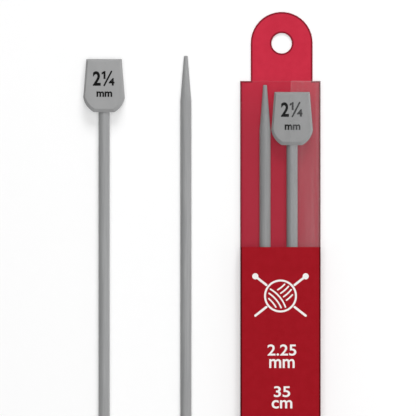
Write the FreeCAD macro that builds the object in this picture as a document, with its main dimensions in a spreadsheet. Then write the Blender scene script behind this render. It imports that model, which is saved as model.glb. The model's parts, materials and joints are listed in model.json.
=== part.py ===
"""Straight knitting needles, 2.25 mm x 35 cm, a loose pair beside a pair in its hanging pack.

Units are millimetres. The set lies on its back: X runs across the needles, Y runs along them
with the pack's hang tab at the top, and Z rises from the surface they lie on. The origin is in
the middle of the set's length and width, on that surface.

Every needle is drawn in a frame of its own: the middle of the head's top edge is the origin, the
shaft runs towards -Y and the marked face of the head looks towards +Z. The pack is drawn from the
middle of its bottom edge, with its back on Z = 0.
"""
import FreeCAD, Part
import math
import os
import Sketcher

SHEET = "Sizes"
START = 1
END = 2
CENTRE = 3
ORIGIN = (-1, START)
X_AXIS = -1
Y_AXIS = -2
EDGE_TOLERANCE = 1e-6
WINDOW_START = "pack_length - window_length"
SLEEVE_LENGTH = WINDOW_START

SIZES = [
    ("needle_length", 350.0, "labelled length, from the top of the head to the tip"),
    ("shaft_diameter", 2.25, "labelled needle size"),
    ("taper_length", 9.2, "from full diameter to the tip"),
    ("tip_diameter", 0.78, "where the blunt tip begins to round over"),
    ("tip_rounding", 0.14, "radius round the tip's end"),
    ("spigot_diameter", 1.8, "reduced end of the shaft, pressed into the head up to its shoulder"),
    ("spigot_chamfer", 0.2, "lead-in on the spigot's end"),
    ("socket_cap", 3.0, "solid plastic between the socket and the top of the head"),
    ("head_thickness", 3.6, "front face to back face"),
    ("head_height", 10.64, "top edge to the foot where the shaft leaves"),
    ("head_top_width", 7.08, "width of the top edge"),
    ("head_corner_drop", 7.66, "top edge down to the widest place"),
    ("head_arc_drop", 6.95, "top edge down to the centre of the round sides"),
    ("head_arc_radius", 4.22, "radius of the round sides below the widest place"),
    ("rim_depth", 0.42, "how far the sloping rim falls from the face"),
    ("rim_top", 0.4, "width of the rim along the top edge"),
    ("face_height", 9.59, "flat face, top edge to foot"),
    ("face_top_width", 6.4, "flat face, width of its top edge"),
    ("face_corner_drop", 7.05, "flat face, top edge down to its widest place"),
    ("face_arc_drop", 6.12, "flat face, top edge down to the centre of its round sides"),
    ("face_arc_radius", 3.9, "flat face, radius of its round sides"),
    ("head_edge_radius", 0.1, "moulded edge round the flat faces"),
    ("card_thickness", 0.4, "printed board of the card and the sleeve"),
    ("pack_width", 16.1, "outside width of the pack"),
    ("pack_length", 353.1, "bottom of the pack up to its shoulders"),
    ("tab_width", 12.4, "hang tab, width and twice the radius of its round top"),
    ("tab_rise", 13.88, "shoulders up to the top of the hang tab"),
    ("tab_offset", 0.27, "hang tab, to the right of the pack's centre line"),
    ("hang_hole_diameter", 4.1, "punched hole in the hang tab"),
    ("hang_hole_drop", 6.28, "top of the hang tab down to the hole's centre"),
    ("pocket_depth", 3.95, "card to the inside of the sleeve's front"),
    ("window_length", 33.3, "shoulders down to the sleeve's top edge"),
    ("fold_radius", 0.3, "outside of the sleeve's folded long edges"),
    ("film_thickness", 0.15, "clear window film"),
    ("film_tuck", 5.0, "how far the film runs down behind the sleeve's front"),
    ("lap_width", 6.0, "second layer of film, from the pack's right edge"),
    ("pack_x", 15.75, "centre line of the pack"),
    ("left_loose_x", -19.62, "axis of the loose needle with its head up"),
    ("right_loose_x", -3.22, "axis of the loose needle with its tip up"),
    ("left_packed_x", 12.67, "axis of the packed needle with its tip up"),
    ("right_packed_x", 18.09, "axis of the packed needle with its head up"),
    ("left_loose_drop", 9.49, "top of the hang tab down to this needle's upper end"),
    ("right_loose_drop", 8.83, "top of the hang tab down to this needle's upper end"),
    ("left_packed_drop", 14.68, "top of the hang tab down to this needle's upper end"),
    ("right_packed_drop", 16.11, "top of the hang tab down to this needle's upper end"),
    ("pocket_clearance", 0.05, "gap between the card and a needle lying in the pocket"),
]

# name, whether it lies in the pack, whether its head is at the top
NEEDLES = [
    ("left_loose", False, True),
    ("right_loose", False, False),
    ("left_packed", True, False),
    ("right_packed", True, True),
]


def add_size_sheet(doc):
    """The driving dimensions, one to a row: name, value, meaning."""
    sheet = doc.addObject("Spreadsheet::Sheet", SHEET)
    for row, (alias, value, meaning) in enumerate(SIZES, start=1):
        sheet.set(f"A{row}", alias)
        sheet.set(f"B{row}", str(value))
        sheet.setAlias(f"B{row}", alias)
        sheet.set(f"C{row}", meaning)
    doc.recompute()
    return sheet


def bound(expression):
    """An expression in which each word that names a size points at its cell."""
    names = {alias for alias, _, _ in SIZES}
    words = expression.replace("(", " ( ").replace(")", " ) ").split()
    return " ".join(f"{SHEET}.{word}" if word in names else word for word in words)


class Outline:
    """A sketch on a body's own plane, whose sizes are bound to the sheet's cells."""

    def __init__(self, body, name, plane, **offset):
        self.sketch = body.newObject("Sketcher::SketchObject", name)
        origin_features = body.Origin.OriginFeatures
        support = next(feature for feature in origin_features if feature.Role == plane)
        self.sketch.AttachmentSupport = [(support, "")]
        self.sketch.MapMode = "FlatFace"
        for direction, expression in offset.items():
            self.sketch.setExpression(f"AttachmentOffset.Base.{direction}", bound(expression))

    def line(self, start, end):
        first = FreeCAD.Vector(*start, 0)
        last = FreeCAD.Vector(*end, 0)
        return self.sketch.addGeometry(Part.LineSegment(first, last))

    def arc(self, centre, radius, start, end):
        """An arc anticlockwise from the start point to the end point."""
        angles = [math.atan2(y - centre[1], x - centre[0]) for x, y in (start, end)]
        circle = Part.Circle(FreeCAD.Vector(*centre, 0), FreeCAD.Vector(0, 0, 1), radius)
        return self.sketch.addGeometry(Part.ArcOfCircle(circle, *angles))

    def circle(self, centre, radius):
        geometry = Part.Circle(FreeCAD.Vector(*centre, 0), FreeCAD.Vector(0, 0, 1), radius)
        return self.sketch.addGeometry(geometry)

    def fix(self, kind, *points):
        self.sketch.addConstraint(Sketcher.Constraint(kind, *points))

    def join(self, *corners):
        """Joins pairs of (geometry, end) points."""
        for first, second in corners:
            self.fix("Coincident", *first, *second)

    def size(self, kind, expression, *points):
        """A dimension; its value starts as drawn and then follows the sheet."""
        value = evaluate(self.sketch.Document.getObject(SHEET), expression)
        index = self.sketch.addConstraint(Sketcher.Constraint(kind, *points, value))
        self.sketch.setExpression(f"Constraints[{index}]", bound(expression))


def evaluate(sheet, expression):
    """The number that an expression has with the sheet's present values."""
    return float(sheet.evalExpression(expression))


def read_sizes(sheet):
    return {alias: float(sheet.get(alias)) for alias, _, _ in SIZES}


def pad(body, outline, length):
    feature = body.newObject("PartDesign::Pad", f"{outline.sketch.Name}_pad")
    feature.Profile = outline.sketch
    feature.setExpression("Length", bound(length))
    return feature


def needle_shaft(doc, name):
    """Aluminium wire: a spigot with a shoulder that seats on the head, and a tapered tip."""
    body = doc.addObject("PartDesign::Body", name)
    size = read_sizes(doc.getObject(SHEET))
    radius = size["shaft_diameter"] / 2
    spigot_radius = size["spigot_diameter"] / 2
    tip_radius = size["tip_diameter"] / 2
    top = -size["socket_cap"]
    foot = -size["head_height"]
    tip = -size["needle_length"]
    taper = tip + size["taper_length"]
    rounding = size["tip_rounding"]
    chamfer = size["spigot_chamfer"]

    profile = Outline(body, f"{name}_profile", "XY_Plane")
    end_face = profile.line((0, top), (spigot_radius - chamfer, top))
    lead_in = profile.line((spigot_radius - chamfer, top), (spigot_radius, top - chamfer))
    spigot = profile.line((spigot_radius, top - chamfer), (spigot_radius, foot))
    shoulder = profile.line((spigot_radius, foot), (radius, foot))
    side = profile.line((radius, foot), (radius, taper))
    cone = profile.line((radius, taper), (tip_radius, tip + rounding))
    nose_centre = (tip_radius - rounding, tip + rounding)
    nose = profile.arc(nose_centre, rounding, (tip_radius - rounding, tip), (tip_radius, tip + rounding))
    tip_face = profile.line((tip_radius - rounding, tip), (0, tip))
    axis = profile.line((0, tip), (0, top))
    profile.join(
        ((end_face, END), (lead_in, START)),
        ((lead_in, END), (spigot, START)),
        ((spigot, END), (shoulder, START)),
        ((shoulder, END), (side, START)),
        ((side, END), (cone, START)),
        ((cone, END), (nose, END)),
        ((nose, START), (tip_face, START)),
        ((tip_face, END), (axis, START)),
        ((axis, END), (end_face, START)),
    )
    profile.fix("PointOnObject", axis, START, Y_AXIS)
    profile.fix("PointOnObject", axis, END, Y_AXIS)
    for edge in (end_face, shoulder, tip_face):
        profile.fix("Horizontal", edge)
    for edge in (spigot, side):
        profile.fix("Vertical", edge)
    profile.fix("Vertical", nose, CENTRE, nose, START)
    profile.size("DistanceY", "socket_cap", end_face, START, *ORIGIN)
    profile.size("DistanceY", "head_height", shoulder, START, *ORIGIN)
    profile.size("DistanceY", "needle_length", axis, START, *ORIGIN)
    profile.size("DistanceX", "shaft_diameter / 2", *ORIGIN, side, END)
    profile.size("DistanceX", "spigot_diameter / 2", *ORIGIN, spigot, END)
    profile.size("DistanceX", "spigot_chamfer", lead_in, START, lead_in, END)
    profile.size("DistanceY", "spigot_chamfer", lead_in, END, lead_in, START)
    profile.size("DistanceY", "taper_length", axis, START, side, END)
    profile.size("DistanceX", "tip_diameter / 2", *ORIGIN, cone, END)
    profile.size("DistanceY", "tip_rounding", axis, START, cone, END)
    profile.size("Radius", "tip_rounding", nose)

    turned = body.newObject("PartDesign::Revolution", f"{name}_turned")
    turned.Profile = profile.sketch
    turned.ReferenceAxis = (profile.sketch, ["V_Axis"])
    turned.Angle = 360
    body.Tip = turned
    return body


def shield(body, name, part, **offset):
    """The head's outline: a flat top, sides that flare, and round shoulders down to a flat foot."""
    size = read_sizes(body.Document.getObject(SHEET))
    half_top = size[f"{part}_top_width"] / 2
    corner = -size[f"{part}_corner_drop"]
    arc_drop = -size[f"{part}_arc_drop"]
    radius = size[f"{part}_arc_radius"]
    foot = -size[f"{part}_height"]
    half_wide = math.sqrt(radius**2 - (corner - arc_drop) ** 2)
    half_foot = math.sqrt(radius**2 - (foot - arc_drop) ** 2)

    outline = Outline(body, name, "XY_Plane", **offset)
    top = outline.line((-half_top, 0), (half_top, 0))
    right_side = outline.line((half_top, 0), (half_wide, corner))
    right_arc = outline.arc((0, arc_drop), radius, (half_foot, foot), (half_wide, corner))
    foot_edge = outline.line((half_foot, foot), (-half_foot, foot))
    left_arc = outline.arc((0, arc_drop), radius, (-half_wide, corner), (-half_foot, foot))
    left_side = outline.line((-half_wide, corner), (-half_top, 0))
    outline.join(
        ((top, END), (right_side, START)),
        ((right_side, END), (right_arc, END)),
        ((right_arc, START), (foot_edge, START)),
        ((foot_edge, END), (left_arc, END)),
        ((left_arc, START), (left_side, START)),
        ((left_side, END), (top, START)),
    )
    outline.fix("Symmetric", top, START, top, END, Y_AXIS)
    outline.fix("PointOnObject", top, START, X_AXIS)
    outline.fix("Symmetric", right_side, END, left_side, START, Y_AXIS)
    outline.fix("Symmetric", foot_edge, START, foot_edge, END, Y_AXIS)
    outline.fix("PointOnObject", right_arc, CENTRE, Y_AXIS)
    outline.fix("PointOnObject", left_arc, CENTRE, Y_AXIS)
    outline.size("DistanceX", f"{part}_top_width", top, START, top, END)
    outline.size("DistanceY", f"{part}_corner_drop", right_side, END, *ORIGIN)
    outline.size("DistanceY", f"{part}_height", foot_edge, START, *ORIGIN)
    outline.size("DistanceY", f"{part}_arc_drop", right_arc, CENTRE, *ORIGIN)
    outline.size("Radius", f"{part}_arc_radius", right_arc)
    return outline


def socket(body, name, base):
    """The blind hole up the middle of the head that the spigot is pressed into."""
    size = read_sizes(body.Document.getObject(SHEET))
    radius = size["spigot_diameter"] / 2
    top = -size["socket_cap"]
    foot = -size["head_height"]

    profile = Outline(body, f"{name}_socket", "XY_Plane")
    top_edge = profile.line((0, top), (radius, top))
    wall = profile.line((radius, top), (radius, foot))
    mouth = profile.line((radius, foot), (0, foot))
    axis = profile.line((0, foot), (0, top))
    profile.join(
        ((top_edge, END), (wall, START)),
        ((wall, END), (mouth, START)),
        ((mouth, END), (axis, START)),
        ((axis, END), (top_edge, START)),
    )
    profile.fix("PointOnObject", axis, START, Y_AXIS)
    profile.fix("PointOnObject", axis, END, Y_AXIS)
    profile.fix("Horizontal", top_edge)
    profile.fix("Vertical", wall)
    profile.fix("Horizontal", mouth)
    profile.size("DistanceY", "socket_cap", top_edge, START, *ORIGIN)
    profile.size("DistanceY", "head_height", axis, START, *ORIGIN)
    profile.size("DistanceX", "spigot_diameter / 2", *ORIGIN, wall, END)

    bored = body.newObject("PartDesign::Groove", f"{name}_bored")
    bored.Profile = profile.sketch
    bored.ReferenceAxis = (profile.sketch, ["V_Axis"])
    bored.Angle = 360
    bored.BaseFeature = base
    return bored


def needle_head(doc, name):
    """Moulded stopper: a shield-shaped slab with a sloping rim on both faces and a blind socket."""
    body = doc.addObject("PartDesign::Body", name)
    slab_front = "head_thickness / 2 - rim_depth"
    back_outline = shield(body, f"{name}_back", "head", z=f"-( {slab_front} )")
    pad(body, back_outline, "head_thickness - 2 * rim_depth")

    front_outline = shield(body, f"{name}_front", "head", z=slab_front)
    face_outline = shield(body, f"{name}_face", "face", y="-( rim_top )", z="head_thickness / 2")
    rim = body.newObject("PartDesign::AdditiveLoft", f"{name}_rim")
    rim.Profile = front_outline.sketch
    rim.Sections = [(face_outline.sketch, [""])]
    rim.Ruled = True

    both_rims = body.newObject("PartDesign::Mirrored", f"{name}_both_rims")
    both_rims.Originals = [rim]
    middle = next(f for f in body.Origin.OriginFeatures if f.Role == "XY_Plane")
    both_rims.MirrorPlane = (middle, [""])
    body.Tip = both_rims
    doc.recompute()

    softened = fillet(body, f"{name}_softened", both_rims, face_edges(both_rims.Shape), "head_edge_radius")
    body.Tip = socket(body, name, softened)
    return body


def fillet(body, name, base, edges, radius):
    feature = body.newObject("PartDesign::Fillet", name)
    feature.Base = (base, edges)
    feature.setExpression("Radius", bound(radius))
    body.Tip = feature
    body.Document.recompute()
    return feature


def face_edges(shape):
    """The names of the edges that lie in the front and back faces."""
    names = []
    for number, edge in enumerate(shape.Edges, start=1):
        heights = [abs(vertex.Point.z) for vertex in edge.Vertexes]
        if min(heights) > shape.BoundBox.ZMax - EDGE_TOLERANCE:
            names.append(f"Edge{number}")
    return names


def back_card(doc, name):
    """Flat printed board with shoulders, a round-topped hang tab and a punched hole."""
    body = doc.addObject("PartDesign::Body", name)
    size = read_sizes(doc.getObject(SHEET))
    half = size["pack_width"] / 2
    shoulder = size["pack_length"]
    radius = size["tab_width"] / 2
    middle = size["tab_offset"]
    arc_height = shoulder + size["tab_rise"] - radius
    hole_height = shoulder + size["tab_rise"] - size["hang_hole_drop"]

    outline = Outline(body, f"{name}_outline", "XY_Plane")
    bottom = outline.line((-half, 0), (half, 0))
    right = outline.line((half, 0), (half, shoulder))
    right_shoulder = outline.line((half, shoulder), (middle + radius, shoulder))
    tab_right = outline.line((middle + radius, shoulder), (middle + radius, arc_height))
    right_end = (middle + radius, arc_height)
    left_end = (middle - radius, arc_height)
    tab_top = outline.arc((middle, arc_height), radius, right_end, left_end)
    tab_left = outline.line(left_end, (middle - radius, shoulder))
    left_shoulder = outline.line((middle - radius, shoulder), (-half, shoulder))
    left = outline.line((-half, shoulder), (-half, 0))
    hole = outline.circle((middle, hole_height), size["hang_hole_diameter"] / 2)
    outline.join(
        ((bottom, END), (right, START)),
        ((right, END), (right_shoulder, START)),
        ((right_shoulder, END), (tab_right, START)),
        ((tab_right, END), (tab_top, START)),
        ((tab_top, END), (tab_left, START)),
        ((tab_left, END), (left_shoulder, START)),
        ((left_shoulder, END), (left, START)),
        ((left, END), (bottom, START)),
    )
    for edge in (right, tab_right, tab_left, left):
        outline.fix("Vertical", edge)
    for edge in (right_shoulder, left_shoulder):
        outline.fix("Horizontal", edge)
    outline.fix("Symmetric", bottom, START, bottom, END, Y_AXIS)
    outline.fix("PointOnObject", bottom, START, X_AXIS)
    outline.fix("Horizontal", right_shoulder, START, left_shoulder, END)
    outline.fix("Horizontal", tab_top, START, tab_top, CENTRE)
    outline.fix("Horizontal", tab_top, CENTRE, tab_top, END)
    outline.fix("Vertical", tab_top, CENTRE, hole, CENTRE)
    outline.size("DistanceX", "pack_width", bottom, START, bottom, END)
    outline.size("DistanceY", "pack_length", right, START, right, END)
    outline.size("DistanceX", "tab_offset", *ORIGIN, tab_top, CENTRE)
    outline.size("Radius", "tab_width / 2", tab_top)
    outline.size("DistanceY", "tab_rise - tab_width / 2", tab_right, START, tab_right, END)
    outline.size("DistanceY", "pack_length + tab_rise - hang_hole_drop", *ORIGIN, hole, CENTRE)
    outline.size("Radius", "hang_hole_diameter / 2", hole)
    body.Tip = pad(body, outline, "card_thickness")
    return body


def add_panel(body, name, width, length, height, corner):
    """A flat panel from its three sizes and its lowest corner, all of them expressions."""
    panel = body.newObject("PartDesign::AdditiveBox", f"{body.Name}_{name}")
    for side, expression in zip(("Length", "Width", "Height"), (width, length, height)):
        panel.setExpression(side, bound(expression))
    for direction, expression in zip("xyz", corner):
        panel.setExpression(f"Placement.Base.{direction}", bound(expression))
    body.Tip = panel
    return panel


def sleeve_front_panel(doc, name):
    """The front of the folded sleeve, with the rounded outsides of its three folds."""
    body = doc.addObject("PartDesign::Body", name)
    corner = ("-( pack_width ) / 2", "0", "card_thickness + pocket_depth")
    flat = add_panel(body, "flat", "pack_width", SLEEVE_LENGTH, "card_thickness", corner)
    doc.recompute()
    fillet(body, f"{name}_folds", flat, fold_edges(flat.Shape), "fold_radius")
    return body


def fold_edges(shape):
    """The names of the panel's long front edges and of its bottom front edge."""
    limits = shape.BoundBox
    names = []
    for number, edge in enumerate(shape.Edges, start=1):
        middle = edge.BoundBox.Center
        in_front = abs(middle.z - limits.ZMax) < EDGE_TOLERANCE
        at_side = abs(abs(middle.x) - limits.XMax) < EDGE_TOLERANCE
        at_bottom = abs(middle.y - limits.YMin) < EDGE_TOLERANCE
        if in_front and (at_side or at_bottom):
            names.append(f"Edge{number}")
    return names


def sleeve_left_wall(doc, name):
    """The sleeve's left side, folded back from the front panel and glued to the card."""
    body = doc.addObject("PartDesign::Body", name)
    corner = ("-( pack_width ) / 2", "0", "card_thickness")
    add_panel(body, "wall", "card_thickness", SLEEVE_LENGTH, "pocket_depth", corner)
    return body


def sleeve_right_wall(doc, name):
    """The sleeve's right side."""
    body = doc.addObject("PartDesign::Body", name)
    corner = ("pack_width / 2 - card_thickness", "0", "card_thickness")
    add_panel(body, "wall", "card_thickness", SLEEVE_LENGTH, "pocket_depth", corner)
    return body


def sleeve_end_flap(doc, name):
    """The sleeve's bottom, which stops the needles from dropping through."""
    body = doc.addObject("PartDesign::Body", name)
    corner = ("-( pack_width ) / 2 + card_thickness", "0", "card_thickness")
    add_panel(body, "flap", "pack_width - 2 * card_thickness", "card_thickness", "pocket_depth", corner)
    return body


def window_film(doc, name):
    """Clear film over the window: its sides fold back to the card and its lower end is tucked in."""
    body = doc.addObject("PartDesign::Body", name)
    left = "-( pack_width ) / 2"
    front_z = "card_thickness + pocket_depth - film_thickness"
    film = "film_thickness"
    tuck_start = f"{WINDOW_START} - film_tuck"
    tuck_width = "pack_width - 2 * card_thickness"
    right = "pack_width / 2 - 2 * film_thickness"
    add_panel(body, "front", "pack_width - film_thickness", "window_length", film,
              (left, WINDOW_START, front_z))
    add_panel(body, "tuck", tuck_width, "film_tuck", film,
              (f"{left} + card_thickness", tuck_start, front_z))
    add_panel(body, "left", film, "window_length", "pocket_depth",
              (left, WINDOW_START, "card_thickness"))
    add_panel(body, "right", film, "window_length", "pocket_depth",
              (right, WINDOW_START, "card_thickness"))
    return body


def film_lap(doc, name):
    """The film's second layer, folded round the right side and lapped over the front."""
    body = doc.addObject("PartDesign::Body", name)
    film = "film_thickness"
    front_left = "pack_width / 2 - lap_width"
    add_panel(body, "front", "lap_width", "window_length", film,
              (front_left, WINDOW_START, "card_thickness + pocket_depth"))
    add_panel(body, "side", film, "window_length", "pocket_depth + film_thickness",
              ("pack_width / 2 - film_thickness", WINDOW_START, "card_thickness"))
    return body


def pack_placement(size):
    span = size["pack_length"] + size["tab_rise"]
    return FreeCAD.Placement(FreeCAD.Vector(size["pack_x"], -span / 2, 0), FreeCAD.Rotation())


def needle_placement(size, name, is_packed, head_up):
    """A needle rests on the lower edge of its head and on its shaft just behind the taper."""
    head_contact = size["rim_top"] + size["face_height"]
    shaft_contact = size["needle_length"] - size["taper_length"]
    step_down = (size["head_thickness"] - size["shaft_diameter"]) / 2
    lean = math.atan(step_down / (shaft_contact - head_contact))
    surface = size["card_thickness"] + size["pocket_clearance"] if is_packed else 0
    head_top_z = surface + size["head_thickness"] / 2 * math.cos(lean) + head_contact * math.sin(lean)

    upper_end = (size["pack_length"] + size["tab_rise"]) / 2 - size[f"{name}_drop"]
    along = size["needle_length"] * math.cos(lean)
    head_top_y = upper_end if head_up else upper_end - along
    turn = FreeCAD.Rotation(FreeCAD.Vector(0, 0, 1), 0 if head_up else 180)
    tilt = FreeCAD.Rotation(FreeCAD.Vector(1, 0, 0), math.degrees(lean if head_up else -lean))
    base = FreeCAD.Vector(size[f"{name}_x"], head_top_y, head_top_z)
    return FreeCAD.Placement(base, tilt * turn)


def build(doc):
    """Every sub-part, with its label and its place in the set."""
    size = read_sizes(add_size_sheet(doc))
    parts = []
    for name, is_packed, head_up in NEEDLES:
        placement = needle_placement(size, name, is_packed, head_up)
        for piece, make in (("shaft", needle_shaft), ("head", needle_head)):
            part = make(doc, f"{name}_needle_{piece}")
            part.Placement = placement
            parts.append(part)
    pack_pieces = {
        "back_card": back_card,
        "sleeve_front_panel": sleeve_front_panel,
        "sleeve_left_wall": sleeve_left_wall,
        "sleeve_right_wall": sleeve_right_wall,
        "sleeve_end_flap": sleeve_end_flap,
        "window_film": window_film,
        "film_lap": film_lap,
    }
    for name, make in pack_pieces.items():
        part = make(doc, name)
        part.Placement = pack_placement(size)
        parts.append(part)
    for part in parts:
        part.Label = part.Name
    return parts


def check(doc, parts):
    """Stops if any object failed to rebuild or any sub-part is not a sound solid."""
    for item in doc.Objects:
        if "Invalid" in item.State or "Error" in item.State:
            raise RuntimeError(f"{item.Name} failed: {item.State}")
    for part in parts:
        shape = part.Shape
        if shape.isNull() or not shape.isValid() or not shape.Solids:
            raise RuntimeError(f"{part.Name} is not a sound solid")


def main():
    doc = FreeCAD.newDocument("KnittingNeedles")
    parts = build(doc)
    doc.recompute()
    check(doc, parts)
    os.makedirs("parts", exist_ok=True)
    for part in parts:
        part.Shape.exportStep(f"parts/{part.Label}.step")
        limits = part.Shape.optimalBoundingBox()
        print(
            f"{part.Label}: {part.Shape.Volume:.2f} mm3,"
            f" x {limits.XMin:.2f}..{limits.XMax:.2f},"
            f" y {limits.YMin:.2f}..{limits.YMax:.2f},"
            f" z {limits.ZMin:.3f}..{limits.ZMax:.3f}"
        )


main()
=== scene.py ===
"""The looks of the knitting needle set: materials, printed marks, light and camera round the CAD frame."""

import json
import math

import bmesh
import bpy
from mathutils import Matrix, Vector

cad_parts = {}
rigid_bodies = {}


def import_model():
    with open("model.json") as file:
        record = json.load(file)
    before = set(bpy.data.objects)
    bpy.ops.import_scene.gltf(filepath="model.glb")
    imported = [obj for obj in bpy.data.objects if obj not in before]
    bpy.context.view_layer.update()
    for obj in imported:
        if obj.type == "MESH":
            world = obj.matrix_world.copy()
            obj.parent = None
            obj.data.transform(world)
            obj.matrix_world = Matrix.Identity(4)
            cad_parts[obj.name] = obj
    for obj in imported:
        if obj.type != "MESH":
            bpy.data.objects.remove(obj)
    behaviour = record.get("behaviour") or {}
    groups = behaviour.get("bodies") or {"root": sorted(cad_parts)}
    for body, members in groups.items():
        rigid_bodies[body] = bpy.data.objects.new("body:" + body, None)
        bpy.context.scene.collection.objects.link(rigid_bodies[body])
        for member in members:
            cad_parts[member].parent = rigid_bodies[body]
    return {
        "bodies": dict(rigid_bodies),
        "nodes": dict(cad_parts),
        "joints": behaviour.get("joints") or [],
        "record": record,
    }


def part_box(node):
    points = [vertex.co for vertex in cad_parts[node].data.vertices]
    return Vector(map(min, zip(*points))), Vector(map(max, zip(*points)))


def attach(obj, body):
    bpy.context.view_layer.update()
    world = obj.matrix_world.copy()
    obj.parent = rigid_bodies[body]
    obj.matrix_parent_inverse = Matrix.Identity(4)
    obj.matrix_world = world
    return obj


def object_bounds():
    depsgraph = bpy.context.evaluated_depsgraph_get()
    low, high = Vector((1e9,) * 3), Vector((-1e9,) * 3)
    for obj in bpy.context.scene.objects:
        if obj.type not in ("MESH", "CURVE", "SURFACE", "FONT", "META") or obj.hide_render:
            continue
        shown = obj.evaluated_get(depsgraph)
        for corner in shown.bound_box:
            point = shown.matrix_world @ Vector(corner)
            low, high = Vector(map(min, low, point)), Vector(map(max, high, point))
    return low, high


MM = 0.001

# What the camera sees: a square of the set's upper end, from straight above.
PICTURE_WIDTH = 83.4 * MM
PICTURE_RIGHT_OF_MIDDLE = 1.22 * MM
PICTURE_BELOW_TOP = 39.34 * MM
PICTURE_MIDDLE_HEIGHT = 3 * MM
LENS = 800
SENSOR = 36
CLIP_END = 100

# Lights, all shining at the picture's middle: direction to the light, size, power in watts.
LIGHT_DISTANCE = 1.2
KEY_LIGHT = ((0.11, 0.95, 0.85), 0.5, 5.7)
OVERHEAD_LIGHT = ((0.0, 0.0, 1.0), 0.7, 5.3)
SIDE_LIGHT = ((1.0, 0.0, 0.85), 0.8, 8.2)
WORLD_STRENGTH = 0.23

FLOOR_HALF_SIZE = 4.0
FLOOR_GAP = 0.02 * MM

# A head's flat face is made of the polygons that look more nearly straight up than this.
FACE_NORMAL_Z = 0.9999

# Printed ink is a thin layer that starts just inside the surface.
INK_DEPTH = 0.01 * MM
INK_HEIGHT = 0.02 * MM
WELD_DISTANCE = 0.0005 * MM

# Marks: name, text, left and right edge from the middle, top and bottom edge below the part's end, all in
# mm, and how much bolder the letters are than plain ones.
HEAD_MARKS = (
    ("size_whole", "2", (-2.24, -0.65), (2.45, 5.37), 0.03),
    ("size_lower", "4", (0.95, 2.11), (3.83, 5.33), 0.04),
    ("unit", "mm", (-1.5, 1.65), (6.5, 7.6), 0.035),
)
# The small 1 and the slash of the fraction are drawn here: the font's 1 has no flag.
HEAD_ONE = (
    (0.3, -4.01),
    (0.3, -2.42),
    (0.02, -2.42),
    (-0.48, -2.76),
    (-0.48, -3.14),
    (-0.09, -2.94),
    (-0.09, -4.01),
)
HEAD_SLASH = ((1.5, -2.5), (0.05, -5.3))
HEAD_SLASH_WIDTH = 0.33
# How much nearer the end the numerals are printed, in mm, on the head where they differ.
NUMERAL_RISE = {"right_packed_needle": 0.38}
SLEEVE_MARKS = (
    ("diameter", "2.25", (-2.61, 3.17), (19.5, 21.75), 0.014),
    ("diameter_unit", "mm", (-2.25, 2.83), (22.42, 24.22), 0.014),
    ("length", "35", (-1.32, 1.94), (27.87, 30.05), 0.014),
    ("length_unit", "cm", (-1.76, 2.37), (30.66, 32.34), 0.014),
)

# The line drawing on the sleeve, in mm: a ball of yarn wound two ways, and two needles behind it.
BALL_MIDDLE = (0.0, -9.8)
BALL_RADIUS = 3.1
BALL_LINE = 0.38
STRAND_LINE = 0.8 * BALL_LINE
STRAND_LIMIT = BALL_RADIUS - 1.6 * BALL_LINE
STRAND_BOW = 2.2 * BALL_RADIUS
STRAND_SWEEP = 40
STRAND_STEPS = 60
FIRST_WIND = math.radians(40)
FIRST_STRANDS = (-2.05, -1.15, -0.25)
SECOND_WIND = math.radians(-60)
SECOND_STRANDS = (-1.35, -0.45, 0.45, 1.35)
SECOND_WIND_START = 0.35
NEEDLE_LINE = 0.45
NEEDLE_LEAN = math.radians(52)
NEEDLE_REACH = 6.4
NEEDLE_GAP = 0.1
KNOB_RADIUS = 0.62
CAP_STEPS = 6
RING_STEPS = 48

# Inks as (colour, uneven colour, colour of dark speckles and of the painted shade along the edges).
CARD_INKS = ((0.49, 0.018, 0.044), (0.52, 0.021, 0.049), (0.19, 0.003, 0.013))
# Painted shade in the pocket: the card darkens to this colour from 3 mm above the window's top edge to 12
# mm below it, and stays so under the film and sleeve.
CARD_POCKET_SHADE = (0.41, 0.02, 0.042)
POCKET_SHADE_BELOW_SHOULDER = 12 * MM
POCKET_SHADE_ABOVE_SHOULDER = 3 * MM
SLEEVE_INKS = ((0.285, 0.001, 0.007), (0.305, 0.002, 0.009), (0.065, 0.0005, 0.002))
BLACK_INKS = ((0.003, 0.003, 0.003), (0.008, 0.008, 0.008))
WHITE_INKS = ((0.74, 0.72, 0.7), (0.8, 0.78, 0.77))
INK_ROUGHNESS = 0.4

# Films as (tint, haze on the left, haze on the right, added haze along the left and top edges, a painted
# highlight there).
WINDOW_FILM = ((0.95, 0.95, 0.95), 0.003, 0.004, 0.01)
LAP_FILM = ((0.985, 0.985, 0.985), 0.038, 0.052, 0.03)
FILM_SHEEN = 0.3

# Where a line, a rim of painted shade or a band of edge haze and painted highlight starts to fade, and
# where it is gone, as distances from its middle or edge.
SEAM_FADE = (0.02 * MM, 0.07 * MM)
CARD_EDGE_SHADE_FADE = (0.2 * MM, 0.46 * MM)
FILM_EDGE_HIGHLIGHT_FADE = (0.05 * MM, 0.35 * MM)


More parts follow.
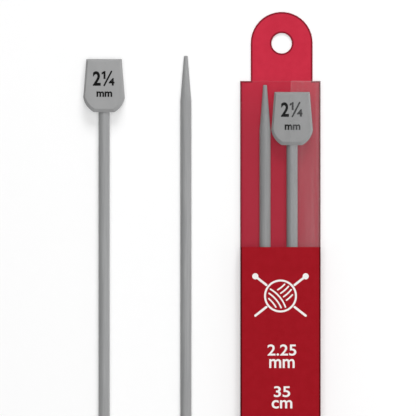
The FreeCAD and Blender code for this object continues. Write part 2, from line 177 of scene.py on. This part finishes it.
class Surface:
    """A node material: one Principled shader, and procedural patterns in object coordinates."""

    def __init__(self, name, **constants):
        self.material = bpy.data.materials.new(name)
        self.material.use_nodes = True
        self.tree = self.material.node_tree
        self.shader = self.tree.nodes["Principled BSDF"]
        for socket, value in constants.items():
            self.shader.inputs[socket.replace("_", " ")].default_value = value
        self.place = self.node("ShaderNodeTexCoord").outputs["Object"]

    def node(self, kind, **settings):
        node = self.tree.nodes.new(kind)
        for setting, value in settings.items():
            setattr(node, setting, value)
        return node

    def feed(self, socket, value):
        """Links an output to an input socket, or sets a plain value on it."""
        if isinstance(value, bpy.types.NodeSocket):
            self.tree.links.new(value, socket)
        else:
            socket.default_value = value

    def noise(self, size, detail=2.0, rough=0.5, offset=0.0):
        """Noise from 0 to 1 whose blots are size mm across, the same or different along x, y and z."""
        sizes = size if isinstance(size, tuple) else (size,) * 3
        mapping = self.node("ShaderNodeMapping")
        self.feed(mapping.inputs["Vector"], self.place)
        mapping.inputs["Scale"].default_value = [1 / (value * MM) for value in sizes]
        mapping.inputs["Location"].default_value = (offset,) * 3
        texture = self.node("ShaderNodeTexNoise")
        self.feed(texture.inputs["Vector"], mapping.outputs["Vector"])
        texture.inputs["Scale"].default_value = 1.0
        texture.inputs["Detail"].default_value = detail
        texture.inputs["Roughness"].default_value = rough
        return texture.outputs["Fac"]

    def math(self, operation, first, second=0.0):
        node = self.node("ShaderNodeMath", operation=operation)
        self.feed(node.inputs[0], first)
        self.feed(node.inputs[1], second)
        return node.outputs[0]

    def spread(self, value, low, high, start=0.3, end=0.7):
        """The value's range from start to end, smoothly turned into low to high."""
        node = self.node("ShaderNodeMapRange", interpolation_type="SMOOTHSTEP")
        for socket, number in zip(node.inputs, (value, start, end, low, high)):
            self.feed(socket, number)
        return node.outputs["Result"]

    def blend(self, factor, first, second):
        """A mix of two colours, each an output or three numbers."""
        node = self.node("ShaderNodeMix", data_type="RGBA")
        self.feed(node.inputs["Factor"], factor)
        for socket, colour in zip((node.inputs[6], node.inputs[7]), (first, second)):
            is_plain = isinstance(colour, tuple)
            self.feed(socket, (*colour, 1.0) if is_plain else colour)
        return node.outputs[2]

    def axes(self):
        """The point's x, y and z as outputs."""
        split = self.node("ShaderNodeSeparateXYZ")
        self.feed(split.inputs[0], self.place)
        return split.outputs

    def colour(self, value):
        self.feed(self.shader.inputs["Base Color"], value)

    def roughness(self, value):
        self.feed(self.shader.inputs["Roughness"], value)

    def relief(self, *layers):
        """Bump from (pattern, height in mm) pairs, one on top of another."""
        normal = None
        for pattern, height in layers:
            bump = self.node("ShaderNodeBump")
            bump.inputs["Distance"].default_value = height * MM
            self.feed(bump.inputs["Height"], pattern)
            if normal:
                self.feed(bump.inputs["Normal"], normal)
            normal = bump.outputs["Normal"]
        self.feed(self.shader.inputs["Normal"], normal)


def coated_wire():
    """Pearl-grey coated aluminium: faint drawing lines, a fine grain and darker handled patches."""
    surface = Surface("coated_wire", Metallic=0.1, Specular_IOR_Level=0.3)
    lines = surface.noise((0.12, 9.0, 0.12), detail=3)
    grain = surface.noise(0.05, detail=3)
    handling = surface.noise((1.5, 14.0, 1.5), offset=7)
    tone = surface.blend(surface.spread(lines, 0, 1), (0.285, 0.288, 0.29), (0.345, 0.348, 0.35))
    tone = surface.blend(surface.spread(handling, 0, 0.5), tone, (0.262, 0.265, 0.267))
    surface.colour(tone)
    surface.roughness(surface.spread(surface.math("ADD", lines, grain), 0.38, 0.56, 0.7, 1.3))
    surface.relief((lines, 0.004), (grain, 0.003))
    return surface.material


def moulded_plastic(mid_height):
    """Grey moulded plastic: a fine matt grain, faint flow marks and a line where the mould parts."""
    surface = Surface("moulded_plastic", Specular_IOR_Level=0.35)
    grain = surface.noise(0.09, detail=4, rough=0.65)
    flow = surface.noise((2.2, 4.5, 2.2), detail=3, offset=3)
    height = surface.axes()["Z"]
    off_middle = surface.math("ABSOLUTE", surface.math("SUBTRACT", height, mid_height))
    seam = surface.spread(off_middle, 1, 0, *SEAM_FADE)
    tone = surface.blend(surface.spread(flow, 0, 1), (0.296, 0.297, 0.298), (0.32, 0.321, 0.322))
    tone = surface.blend(surface.spread(grain, 0, 0.5), tone, (0.28, 0.282, 0.283))
    surface.colour(surface.blend(surface.math("MULTIPLY", seam, 0.5), tone, (0.36, 0.36, 0.36)))
    surface.roughness(surface.spread(grain, 0.46, 0.62))
    surface.relief((grain, 0.006), (seam, 0.02))
    return surface.material


def edge_distance_of_card(surface, tab_middle, tab_radius, hole):
    """How far inside the back card's outline a point is: shoulders, round-topped tab and hole."""
    low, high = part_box("back_card")
    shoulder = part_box("window_film")[1].y
    x, y, _ = surface.axes()
    from_middle = surface.math("ABSOLUTE", surface.math("SUBTRACT", x, (low.x + high.x) / 2))
    to_side = surface.math("SUBTRACT", (high.x - low.x) / 2, from_middle)
    in_body = surface.math("MINIMUM", to_side, surface.math("SUBTRACT", shoulder, y))

    across = surface.math("SUBTRACT", x, tab_middle)
    above_arc = surface.math("SUBTRACT", y, high.y - tab_radius)
    upward = surface.math("MAXIMUM", above_arc, 0.0)
    in_tab = surface.math("SUBTRACT", tab_radius, length_of(surface, across, upward))
    inside = surface.math("MAXIMUM", in_body, in_tab)

    hole_x, hole_y, hole_radius = hole
    from_hole = length_of(
        surface,
        surface.math("SUBTRACT", x, hole_x),
        surface.math("SUBTRACT", y, hole_y),
    )
    return surface.math("MINIMUM", inside, surface.math("SUBTRACT", from_hole, hole_radius))


def length_of(surface, first, second):
    """The length of a flat vector from its two parts."""
    squares = [surface.math("MULTIPLY", part, part) for part in (first, second)]
    return surface.math("SQRT", surface.math("ADD", *squares))


def edge_distance_of_sleeve(surface):
    """How far a point of the sleeve is from its side folds."""
    low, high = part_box("sleeve_front_panel")
    x = surface.axes()["X"]
    from_middle = surface.math("ABSOLUTE", surface.math("SUBTRACT", x, (low.x + high.x) / 2))
    return surface.math("SUBTRACT", (high.x - low.x) / 2, from_middle)


def printed_card(name, inks, edge_distance, painted_pocket_shade=None):
    """Satin red printed board: uneven ink, paper fibres under it and painted shade along the cut edges, and
    when asked painted shade in the pocket under the film.
    """
    ink_colour, ink_shade, speckle_and_edge_shade_colour = inks
    surface = Surface(name, Specular_IOR_Level=0.14)
    fibres = surface.noise((0.3, 0.09, 0.3), detail=4, rough=0.6)
    mottle = surface.noise(1.6, detail=3, offset=5)
    speckle = surface.noise(0.05, detail=2)
    tone = surface.blend(surface.spread(mottle, 0, 1), ink_colour, ink_shade)
    # Painted shade: darker inside the pocket, below the window's top edge.
    if painted_pocket_shade:
        pocket_shade_colour, start, end = painted_pocket_shade
        along = surface.axes()["Y"]
        tone = surface.blend(surface.spread(along, 1, 0, start, end), tone, pocket_shade_colour)
    tone = surface.blend(surface.spread(speckle, 0, 0.35, 0.45, 0.8), tone, speckle_and_edge_shade_colour)
    # Painted shade: a dark rim along the card's cut edges and the sleeve's side folds.
    edge_shade_mask = surface.spread(edge_distance(surface), 1, 0, *CARD_EDGE_SHADE_FADE)
    surface.colour(surface.blend(surface.math("MULTIPLY", edge_shade_mask, 0.95), tone, speckle_and_edge_shade_colour))
    surface.roughness(surface.spread(fibres, 0.26, 0.38))
    surface.relief((fibres, 0.004), (mottle, 0.02))
    return surface.material


def film(name, piece, tint, haze, haze_right, edge_haze_and_highlight):
    """Thin clear film: see-through, with a soft sheen at a slant, faint streaks, and haze that is
    deeper towards its right side and along its left and top edges, where it paints a highlight line."""
    surface = Surface(name, Roughness=0.12)
    streaks = surface.noise((0.5, 25.0, 0.5), detail=3)
    waves = surface.noise((4.0, 9.0, 4.0), detail=1, offset=2)
    surface.colour(surface.blend(streaks, (0.74, 0.75, 0.76), (0.84, 0.85, 0.86)))
    surface.relief((waves, 0.12), (streaks, 0.004))

    low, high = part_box(piece)
    x, y, _ = surface.axes()
    sideways = surface.spread(x, haze, haze_right, low.x, high.x)
    cloud = surface.math("MULTIPLY", sideways, surface.spread(streaks, 0.75, 1.25))
    from_left = surface.math("SUBTRACT", x, low.x)
    from_top = surface.math("SUBTRACT", high.y, y)
    from_edge = surface.math("MINIMUM", from_left, from_top)
    # Painted highlight: added haze along the left and top edges lightens them like a line of light.
    cloud = surface.math("ADD", cloud, surface.spread(from_edge, edge_haze_and_highlight, 0, *FILM_EDGE_HIGHLIGHT_FADE))
    slant = surface.node("ShaderNodeLayerWeight")
    slant.inputs["Blend"].default_value = 0.25
    sheen = surface.math("MULTIPLY", surface.math("POWER", slant.outputs["Facing"], 3.0), FILM_SHEEN)
    share = surface.math("MINIMUM", surface.math("ADD", cloud, sheen), 1.0)

    clear = surface.node("ShaderNodeBsdfTransparent")
    clear.inputs["Color"].default_value = (*tint, 1.0)
    mix = surface.node("ShaderNodeMixShader")
    surface.feed(mix.inputs["Fac"], share)
    surface.feed(mix.inputs[1], clear.outputs[0])
    surface.feed(mix.inputs[2], surface.shader.outputs[0])
    output = surface.tree.nodes["Material Output"]
    surface.feed(output.inputs["Surface"], mix.outputs[0])
    return surface.material


def printed_ink(name, dark, light):
    """Printing ink with a slightly uneven layer."""
    surface = Surface(name, Specular_IOR_Level=0.1)
    coverage = surface.noise(0.12, detail=4, rough=0.6)
    surface.colour(surface.blend(surface.spread(coverage, 0, 1), dark, light))
    surface.roughness(surface.spread(coverage, INK_ROUGHNESS, INK_ROUGHNESS + 0.15))
    surface.relief((coverage, 0.002))
    return surface.material


def floor_surface():
    """A pale seamless studio sheet."""
    surface = Surface("studio_sheet", Specular_IOR_Level=0.05)
    mottle = surface.noise(3.0, detail=2)
    surface.colour(surface.blend(mottle, (0.88, 0.88, 0.88), (0.888, 0.888, 0.888)))
    surface.roughness(0.9)
    return surface.material


def dress(nodes, names, material):
    """Gives CAD nodes a better material in place of their plain one."""
    for name in names:
        slots = nodes[name].data.materials
        slots.clear()
        slots.append(material)


def new_piece(name, mesh, material, body):
    """A visible piece in the scene, riding on a CAD body."""
    piece = bpy.data.objects.new(name, mesh)
    mesh.materials.clear()
    mesh.materials.append(material)
    bpy.context.scene.collection.objects.link(piece)
    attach(piece, body)
    return piece


def lettering(text, across, down, boldness):
    """Text as a thin flat solid that fills the given edges in mm, y down from the part's end."""
    half_depth = 0.5
    curve = bpy.data.curves.new("lettering", "FONT")
    curve.body = text
    curve.offset = boldness
    curve.resolution_u = 6
    curve.extrude = half_depth
    source = bpy.data.objects.new("lettering", curve)
    bpy.context.scene.collection.objects.link(source)
    depsgraph = bpy.context.evaluated_depsgraph_get()
    mesh = bpy.data.meshes.new_from_object(source.evaluated_get(depsgraph))
    bpy.data.objects.remove(source)

    xs = [vertex.co.x for vertex in mesh.vertices]
    ys = [vertex.co.y for vertex in mesh.vertices]
    wide, high = max(xs) - min(xs), max(ys) - min(ys)
    to_origin = Matrix.Translation((-min(xs), -min(ys), half_depth))
    scale = Matrix.Diagonal((
        (across[1] - across[0]) * MM / wide,
        (down[1] - down[0]) * MM / high,
        INK_DEPTH + INK_HEIGHT,
        1,
    ))
    to_place = Matrix.Translation((across[0] * MM, -down[1] * MM, -INK_DEPTH))
    mesh.transform(to_place @ scale @ to_origin)
    weld(mesh)
    return mesh


def weld(mesh):
    """Joins the points that meet, so that the mesh is one closed skin."""
    solid = bmesh.new()
    solid.from_mesh(mesh)
    bmesh.ops.remove_doubles(solid, verts=solid.verts, dist=WELD_DISTANCE)
    bmesh.ops.recalc_face_normals(solid, faces=solid.faces)
    solid.to_mesh(mesh)
    solid.free()


def stroke(points, width):
    """A thin ribbon of ink with round ends along flat points in mm, y up, as a list of corners."""
    first = direction_between(points[0], points[1])
    last = direction_between(points[-2], points[-1])
    left, right = [], []
    for number, point in enumerate(points):
        before = points[max(number - 1, 0)]
        after = points[min(number + 1, len(points) - 1)]
        along = direction_between(before, after)
        side = Vector((-along.y, along.x)) * width / 2
        left.append(Vector(point) + side)
        right.append(Vector(point) - side)
    end_cap = half_circle(points[-1], width / 2, math.atan2(last.y, last.x) - math.pi / 2)
    start_cap = half_circle(points[0], width / 2, math.atan2(first.y, first.x) + math.pi / 2)
    return right + end_cap + left[::-1] + start_cap


def direction_between(first, second):
    return (Vector(second) - Vector(first)).normalized()


def half_circle(centre, radius, start):
    """The inner points of a half circle, anticlockwise from the start angle."""
    points = []
    for number in range(1, CAP_STEPS):
        angle = start + math.pi * number / CAP_STEPS
        points.append(Vector(centre) + Vector((math.cos(angle), math.sin(angle))) * radius)
    return points


def ink_shapes(outlines, rings=()):
    """Flat outlines and rings in mm, y up, raised into thin solids in one mesh."""
    solid = bmesh.new()
    for centre, radius, width in rings:
        add_ring(solid, centre, radius, width)
    for outline in outlines:
        base = [solid.verts.new((point[0], point[1], -INK_DEPTH / MM)) for point in outline]
        top = [solid.verts.new((point[0], point[1], INK_HEIGHT / MM)) for point in outline]
        solid.faces.new(base[::-1])
        solid.faces.new(top)
        for number, corner in enumerate(base):
            after = (number + 1) % len(base)
            solid.faces.new((corner, base[after], top[after], top[number]))
    solid.normal_update()
    bmesh.ops.triangulate(solid, faces=[face for face in solid.faces if len(face.verts) > 4])
    mesh = bpy.data.meshes.new("ink")
    solid.to_mesh(mesh)
    solid.free()
    mesh.transform(Matrix.Diagonal((MM, MM, MM, 1)))
    return mesh


def add_ring(solid, centre, radius, width):
    """A flat ring of ink with a square section, added to a mesh that is being built."""
    low, high = -INK_DEPTH / MM, INK_HEIGHT / MM
    outer, inner = radius + width / 2, radius - width / 2
    corners = ((outer, low), (outer, high), (inner, high), (inner, low))
    loops = []
    for corner_radius, height in corners:
        circle = arc(centre, corner_radius, 0, 360, RING_STEPS)[:-1]
        loops.append([solid.verts.new((point.x, point.y, height)) for point in circle])
    for number, loop in enumerate(loops):
        following = loops[(number + 1) % len(loops)]
        for step in range(RING_STEPS):
            after = (step + 1) % RING_STEPS
            solid.faces.new((loop[step], loop[after], following[after], following[step]))


def marked_face(nodes, needle):
    """The frame of a head's front face: origin at the middle of its outer end, y towards that end."""
    low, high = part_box(f"{needle}_head")
    shaft_low, shaft_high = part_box(f"{needle}_shaft")
    points_up = low.y + high.y > shaft_low.y + shaft_high.y
    normal = Vector()
    middle = Vector()
    area = 0.0
    for polygon in nodes[f"{needle}_head"].data.polygons:
        if polygon.normal.z > FACE_NORMAL_Z and polygon.center.z > (low.z + high.z) / 2:
            normal += polygon.normal * polygon.area
            middle += polygon.center * polygon.area
            area += polygon.area
    normal.normalize()
    middle /= area
    along = Vector((0, 1 if points_up else -1, 0))
    along = (along - normal * along.dot(normal)).normalized()
    across = along.cross(normal)
    end = Vector(((low.x + high.x) / 2, high.y if points_up else low.y, 0))
    end.z = middle.z - (normal.x * (end.x - middle.x) + normal.y * (end.y - middle.y)) / normal.z
    frame = Matrix((across, along, normal)).transposed().to_4x4()
    frame.translation = end
    return frame


def mark_heads(nodes, needles, material):
    """The size on each head's front face: 2 1/4 mm."""
    for needle in needles:
        frame = marked_face(nodes, needle)
        raised = frame @ Matrix.Translation((0, NUMERAL_RISE.get(needle, 0) * MM, 0))
        for name, text, across, down, boldness in HEAD_MARKS:
            mesh = lettering(text, across, down, boldness)
            mesh.transform(frame if name == "unit" else raised)
            new_piece(f"{needle}_{name}", mesh, material, needle)
        mesh = ink_shapes([HEAD_ONE, stroke(HEAD_SLASH, HEAD_SLASH_WIDTH)])
        mesh.transform(raised)
        new_piece(f"{needle}_size_fraction", mesh, material, needle)


def sleeve_frame():
    """The frame of the sleeve's front: origin at the middle of its open end, y towards it."""
    low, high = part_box("sleeve_front_panel")
    return Matrix.Translation(((low.x + high.x) / 2, high.y, high.z))


def mark_sleeve(material):
    """The size on the sleeve, and a ball of yarn with two needles above it."""
    frame = sleeve_frame()
    for name, text, across, down, boldness in SLEEVE_MARKS:
        mesh = lettering(text, across, down, boldness)
        mesh.transform(frame)
        new_piece(f"sleeve_{name}", mesh, material, "pack")
    centre = Vector(BALL_MIDDLE)
    mesh = ink_shapes(ball_strands(centre) + crossed_needles(centre), [(centre, BALL_RADIUS, BALL_LINE)])
    mesh.transform(frame)
    new_piece("sleeve_yarn_ball", mesh, material, "pack")


def arc(centre, radius, start, end, steps=24):
    """Points along an arc, angles in degrees."""
    points = []
    for number in range(steps + 1):
        angle = math.radians(start + (end - start) * number / steps)
        points.append(Vector(centre) + Vector((math.cos(angle), math.sin(angle))) * radius)
    return points


def ball_strands(centre):
    """Outlines of the yarn on the ball, wound in two directions."""
    first = strands(centre, FIRST_WIND, FIRST_STRANDS, -BALL_RADIUS)
    second = strands(centre, SECOND_WIND, SECOND_STRANDS, SECOND_WIND_START, FIRST_WIND)
    return first + second


def crossed_needles(centre):
    """Outlines of two needles that stick out from behind the ball."""
    outlines = []
    clear = BALL_RADIUS + BALL_LINE + NEEDLE_GAP
    for side in (-1, 1):
        lean = Vector((side * math.sin(NEEDLE_LEAN), math.cos(NEEDLE_LEAN)))
        knob = centre + lean * NEEDLE_REACH
        outlines.append(knobbed(centre + lean * clear, knob, NEEDLE_LINE, KNOB_RADIUS))
        outlines.append(stroke([centre - lean * clear, centre - lean * NEEDLE_REACH], NEEDLE_LINE))
    return outlines


def knobbed(start, knob, width, radius):
    """A needle's line from a round end to the knob at its other end, as one outline."""
    along = direction_between(start, knob)
    heading = math.atan2(along.y, along.x)
    half_gap = math.asin(width / 2 / radius)
    first = math.degrees(heading + math.pi + half_gap)
    last = math.degrees(heading + 3 * math.pi - half_gap)
    side = Vector((-along.y, along.x)) * width / 2
    end_cap = half_circle(start, width / 2, heading + math.pi / 2)
    return [start - side] + arc(knob, radius, first, last) + [start + side] + end_cap


def strands(centre, turn, offsets, least, side_turn=None):
    """Bowed strands across the ball, one at each offset and all turned by an angle. They stop short of
    the ball's edge, and of a line that lies the least distance from its middle on the given side."""
    side = turn if side_turn is None else side_turn
    away = Vector((math.cos(side), math.sin(side)))
    outlines = []
    for offset in offsets:
        run = []
        for point in arc((0, 0), STRAND_BOW, -STRAND_SWEEP, STRAND_SWEEP, STRAND_STEPS):
            local = Vector((point.x - STRAND_BOW + offset, point.y))
            local.rotate(Matrix.Rotation(turn, 2))
            if local.length < STRAND_LIMIT and local.dot(away) > least:
                run.append(centre + local)
        outlines.append(stroke(run, STRAND_LINE))
    return outlines


def add_floor():
    """A wide pale sheet just under the set."""
    mesh = bpy.data.meshes.new("floor")
    half = FLOOR_HALF_SIZE
    corners = [(-half, -half, 0), (half, -half, 0), (half, half, 0), (-half, half, 0)]
    mesh.from_pydata(corners, [], [(0, 1, 2, 3)])
    floor = bpy.data.objects.new("floor", mesh)
    floor.location.z = -FLOOR_GAP
    floor.data.materials.append(floor_surface())
    bpy.context.scene.collection.objects.link(floor)


def add_light(name, settings, target, shines=False, casts_shadow=True):
    """A square soft light from a direction; only one that shines is mirrored in glossy surfaces."""
    direction, size, power = settings
    lamp = bpy.data.lights.new(name, "AREA")
    lamp.size = size
    lamp.energy = power
    light = bpy.data.objects.new(name, lamp)
    towards = Vector(direction).normalized()
    light.location = target + towards * LIGHT_DISTANCE
    light.rotation_euler = towards.to_track_quat("Z", "Y").to_euler()
    light.visible_camera = False
    light.visible_glossy = shines
    lamp.use_shadow = casts_shadow
    bpy.context.scene.collection.objects.link(light)


def add_world():
    """Even white light from all round."""
    world = bpy.data.worlds.new("studio")
    world.use_nodes = True
    background = world.node_tree.nodes["Background"]
    background.inputs["Color"].default_value = (1, 1, 1, 1)
    background.inputs["Strength"].default_value = WORLD_STRENGTH
    bpy.context.scene.world = world


def add_camera(target):
    """Straight above the picture's middle, with its top towards the hang tab."""
    data = bpy.data.cameras.new("camera")
    data.lens = LENS
    data.sensor_width = SENSOR
    camera = bpy.data.objects.new("camera", data)
    camera.location = target + Vector((0, 0, PICTURE_WIDTH * LENS / SENSOR))
    data.clip_end = CLIP_END
    bpy.context.scene.collection.objects.link(camera)
    bpy.context.scene.camera = camera


def dress_needles(nodes, needles):
    """Coated wire for the shafts, and for each head plastic with the parting line at its own mid-height."""
    wire = coated_wire()
    for needle in needles:
        low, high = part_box(f"{needle}_head")
        dress(nodes, [f"{needle}_shaft"], wire)
        dress(nodes, [f"{needle}_head"], moulded_plastic((low.z + high.z) / 2))


def dress_pack(nodes, mounts):
    """Printed board for the card and the sleeve, and clear film for the window and its lap."""
    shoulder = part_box("window_film")[1].y
    tab_xs = [vertex.co.x for vertex in nodes["back_card"].data.vertices if vertex.co.y > shoulder + MM]
    tab_middle = (min(tab_xs) + max(tab_xs)) / 2
    tab_radius = (max(tab_xs) - min(tab_xs)) / 2
    hole_mount = next(mount for mount in mounts if mount["name"] == "hang_hole")
    hole = (hole_mount["pos_m"][0], hole_mount["pos_m"][1], hole_mount["dims"]["r_mm"] * MM)

    def edge_distance(surface):
        return edge_distance_of_card(surface, tab_middle, tab_radius, hole)

    # Painted shade in the pocket under the film.
    painted_pocket_shade = (CARD_POCKET_SHADE, shoulder - POCKET_SHADE_BELOW_SHOULDER, shoulder + POCKET_SHADE_ABOVE_SHOULDER)
    card = printed_card("card_print", CARD_INKS, edge_distance, painted_pocket_shade)
    sleeve = printed_card("sleeve_print", SLEEVE_INKS, edge_distance_of_sleeve)
    dress(nodes, ["back_card"], card)
    dress(nodes, [name for name in nodes if name.startswith("sleeve_")], sleeve)
    dress(nodes, ["window_film"], film("clear_film", "window_film", *WINDOW_FILM))
    dress(nodes, ["film_lap"], film("lap_film", "film_lap", *LAP_FILM))


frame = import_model()
cad_low, cad_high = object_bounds()
nodes = frame["nodes"]
needles = [body for body in frame["bodies"] if body.endswith("_needle")]

dress_needles(nodes, needles)
dress_pack(nodes, frame["record"]["mounts"])
mark_heads(nodes, needles, printed_ink("black_print", *BLACK_INKS))
mark_sleeve(printed_ink("white_print", *WHITE_INKS))

middle_x = (cad_low.x + cad_high.x) / 2
picture_middle = Vector((
    middle_x + PICTURE_RIGHT_OF_MIDDLE,
    cad_high.y - PICTURE_BELOW_TOP,
    PICTURE_MIDDLE_HEIGHT,
))
add_floor()
add_world()
add_light("key", KEY_LIGHT, picture_middle, shines=True)
add_light("overhead", OVERHEAD_LIGHT, picture_middle)
add_light("side", SIDE_LIGHT, picture_middle, casts_shadow=False)
add_camera(picture_middle)
bpy.context.scene.view_settings.view_transform = "Standard"
